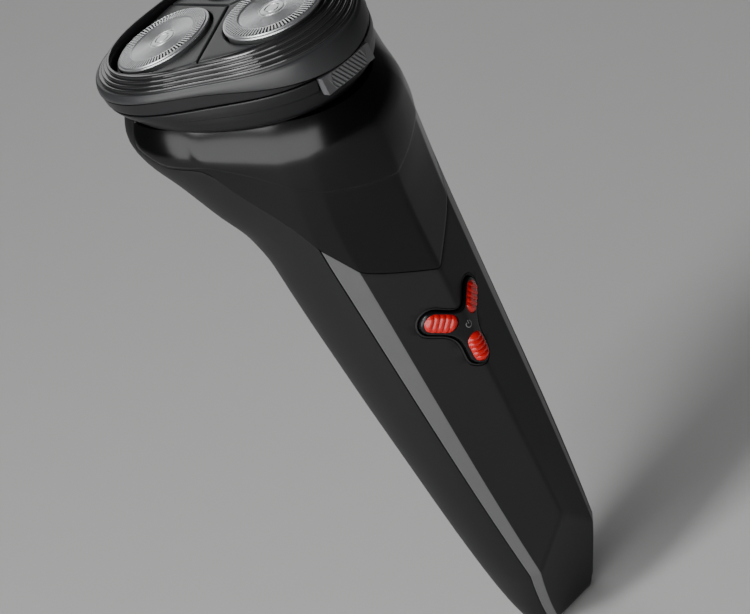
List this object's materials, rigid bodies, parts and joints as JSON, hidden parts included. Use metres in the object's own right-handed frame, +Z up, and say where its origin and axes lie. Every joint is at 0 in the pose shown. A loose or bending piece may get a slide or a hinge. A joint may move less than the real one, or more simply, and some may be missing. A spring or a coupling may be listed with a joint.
{
  "type": "rotary electric shaver",
  "caption": "Cordless rotary shaver with floating round cutters in a flip-open head, a pull-off hair chamber and a tapered handle with a lobed power button.",
  "frame": {"origin": "centre of the bounding box's bottom face, on the flat charging end of the handle", "axes": "+Z up the handle to the shaving head, -Y towards the power button (front), +X to the right seen from the front"},
  "size_m": [0.0586, 0.059, 0.1606],
  "materials": {
    "matte_rear": "fine-grained matt black",
    "matte_front": "satin black with pale satin edges",
    "gloss_black": "polished piano black",
    "red_insert": "translucent red",
    "dark_plastic": "moulded dark grey",
    "satin_grey": "satin dark grey with polished ribs",
    "rubber": "matt",
    "steel": "polished stainless steel",
    "plated_steel": "plain plated steel",
    "brass": "plain",
    "nylon": "natural nylon",
    "board_green": "solder resist green",
    "blue_sleeve": "shrink sleeve"
  },
  "bodies": {
    "handle": {"rear_shell": "matte_rear", "front_shell": "matte_front", "gloss_panel": "gloss_black", "button_gasket": "rubber", "power_switch": "dark_plastic", "circuit_board": "board_green", "charge_led": "nylon", "battery_cell": "blue_sleeve", "battery_contact_low": "brass", "battery_contact_high": "brass", "socket_housing": "dark_plastic", "socket_pin_left": "brass", "socket_pin_right": "brass", "motor_cradle": "dark_plastic", "motor_housing": "plated_steel", "gear_deck": "dark_plastic", "neck_seal": "rubber", "neck_cover": "dark_plastic", "deck_screw_1": "plated_steel", "deck_screw_2": "plated_steel", "deck_screw_3": "plated_steel"},
    "power_button": {"power_button": "gloss_black", "button_insert_1": "red_insert", "button_insert_2": "red_insert", "button_insert_3": "red_insert"},
    "pinion": {"motor_pinion": "nylon"},
    "drive_1": {"drive_gear_1": "nylon", "spindle_1": "plated_steel"},
    "drive_2": {"drive_gear_2": "nylon", "spindle_2": "plated_steel"},
    "drive_3": {"drive_gear_3": "nylon", "spindle_3": "plated_steel"},
    "shaving_unit": {"hair_chamber": "matte_front", "hinge_pin": "plated_steel", "release_spring": "plated_steel"},
    "release": {"release_button": "matte_front"},
    "head": {"head_frame": "satin_grey", "cutter_frame": "dark_plastic"},
    "lock": {"lock_wheel": "nylon"},
    "petal_1": {"petal_1": "satin_grey", "guard_1": "steel"},
    "petal_2": {"petal_2": "satin_grey", "guard_2": "steel"},
    "petal_3": {"petal_3": "satin_grey", "guard_3": "steel"},
    "cutter_1": {"cutter_1": "steel", "cutter_hub_1": "nylon"},
    "cutter_2": {"cutter_2": "steel", "cutter_hub_2": "nylon"},
    "cutter_3": {"cutter_3": "steel", "cutter_hub_3": "nylon"}
  },
  "joints": [
    {"name": "power_press", "type": "slide", "parent": "handle", "child": "power_button", "axis": [0, 1, 0], "range_m": [0, 0.0005], "stiffness_N_per_m": 500},
    {"name": "pinion_spin", "type": "hinge", "parent": "handle", "child": "pinion", "pos_m": [0, 0.002, 0.1358], "axis": [0, 0, 1], "continuous": true},
    {"name": "gear_spin_1", "type": "hinge", "parent": "handle", "child": "drive_1", "pos_m": [0, -0.0129, 0.1358], "axis": [0, 0, 1], "continuous": true},
    {"name": "gear_spin_2", "type": "hinge", "parent": "handle", "child": "drive_2", "pos_m": [0.0129, 0.00945, 0.1358], "axis": [0, 0, 1], "continuous": true},
    {"name": "gear_spin_3", "type": "hinge", "parent": "handle", "child": "drive_3", "pos_m": [-0.0129, 0.00945, 0.1358], "axis": [0, 0, 1], "continuous": true},
    {"name": "unit_pull_off", "type": "slide", "parent": "handle", "child": "shaving_unit", "axis": [0, 0, 1], "range_m": [0, 0.02]},
    {"name": "release_press", "type": "slide", "parent": "shaving_unit", "child": "release", "axis": [0, 1, 0], "range_m": [0, 0.0008], "stiffness_N_per_m": 400},
    {"name": "head_flip", "type": "hinge", "parent": "shaving_unit", "child": "head", "pos_m": [0, 0.0276, 0.154], "axis": [-1, 0, 0], "range_deg": [0, 105]},
    {"name": "lock_turn", "type": "hinge", "parent": "head", "child": "lock", "pos_m": [0, 0.002, 0.151], "axis": [0, 0, 1], "range_deg": [0, 90]},
    {"name": "petal_rock_1", "type": "hinge", "parent": "head", "child": "petal_1", "pos_m": [0, -0.0129, 0.1589], "axis": [1, 0, 0], "range_deg": [-3, 3], "stiffness_Nm_per_rad": 0.05},
    {"name": "petal_rock_2", "type": "hinge", "parent": "head", "child": "petal_2", "pos_m": [0.0129, 0.00945, 0.1589], "axis": [-0.5, 0.866, 0], "range_deg": [-3, 3], "stiffness_Nm_per_rad": 0.05},
    {"name": "petal_rock_3", "type": "hinge", "parent": "head", "child": "petal_3", "pos_m": [-0.0129, 0.00945, 0.1589], "axis": [-0.5, -0.866, 0], "range_deg": [-3, 3], "stiffness_Nm_per_rad": 0.05},
    {"name": "cutter_spin_1", "type": "hinge", "parent": "petal_1", "child": "cutter_1", "pos_m": [0, -0.0129, 0.1589], "axis": [0, -0.075, 0.9972], "continuous": true},
    {"name": "cutter_spin_2", "type": "hinge", "parent": "petal_2", "child": "cutter_2", "pos_m": [0.0129, 0.00945, 0.1589], "axis": [0.0649, 0.0375, 0.9972], "continuous": true},
    {"name": "cutter_spin_3", "type": "hinge", "parent": "petal_3", "child": "cutter_3", "pos_m": [-0.0129, 0.00945, 0.1589], "axis": [-0.0649, 0.0375, 0.9972], "continuous": true}
  ],
  "couplings": [
    {"joint": "pinion_spin", "follows": "gear_spin_1", "ratio": -2.5},
    {"joint": "gear_spin_2", "follows": "gear_spin_1", "ratio": 1},
    {"joint": "gear_spin_3", "follows": "gear_spin_1", "ratio": 1},
    {"joint": "cutter_spin_1", "follows": "gear_spin_1", "ratio": 1},
    {"joint": "cutter_spin_2", "follows": "gear_spin_1", "ratio": 1},
    {"joint": "cutter_spin_3", "follows": "gear_spin_1", "ratio": 1}
  ]
}
